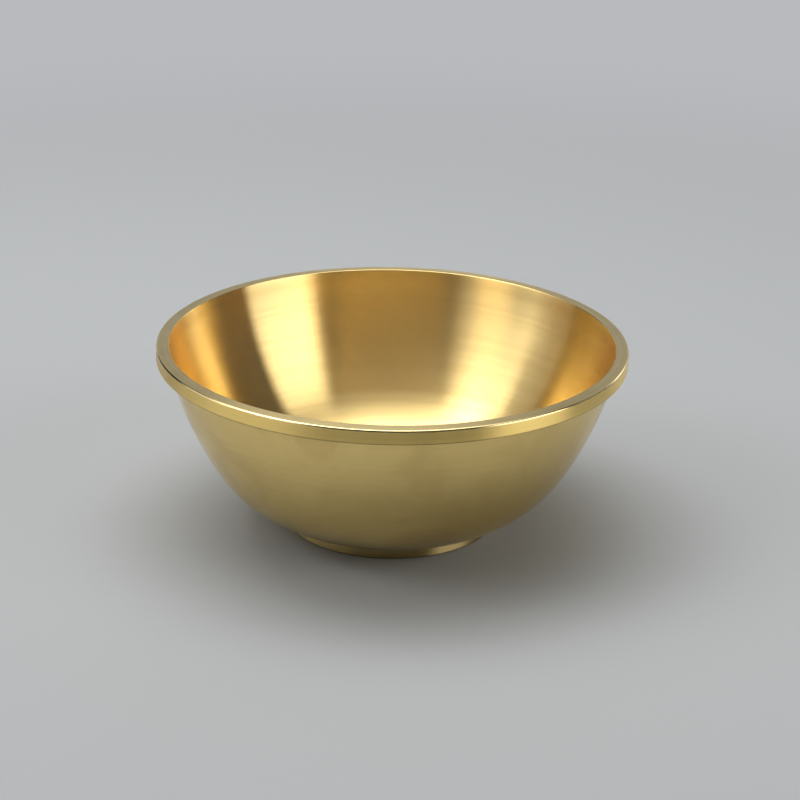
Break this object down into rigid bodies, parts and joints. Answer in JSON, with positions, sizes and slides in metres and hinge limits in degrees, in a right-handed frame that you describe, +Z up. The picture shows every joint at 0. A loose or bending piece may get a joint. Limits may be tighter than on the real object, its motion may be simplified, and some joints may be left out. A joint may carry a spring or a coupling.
{
  "type": "metal bowl",
  "caption": "Small round polished brass bowl with a heavy flat-lipped ring round its mouth and a low foot ring under its base, to hold food, offerings or small items.",
  "frame": {"origin": "middle of the circle on which the foot ring stands", "axes": "+Z up along the bowl's axis, towards the mouth; X and Y lie in the plane that the bowl stands on"},
  "size_m": [0.1056, 0.1056, 0.0427],
  "materials": {
    "shell_brass": "polished on the lathe, bright inside and slightly duller outside",
    "rim_brass": "turned, satin on the flat lip and polished on the band",
    "foot_brass": "turned and polished",
    "rim_solder_alloy": "pale yellow silver solder, cleaned flush",
    "foot_solder_alloy": "pale yellow silver solder, left as it flowed"
  },
  "bodies": {
    "root": {"bowl_shell": "shell_brass", "rim_ring": "rim_brass", "rim_solder": "rim_solder_alloy", "foot_ring": "foot_brass", "foot_solder": "foot_solder_alloy"}
  },
  "joints": []
}
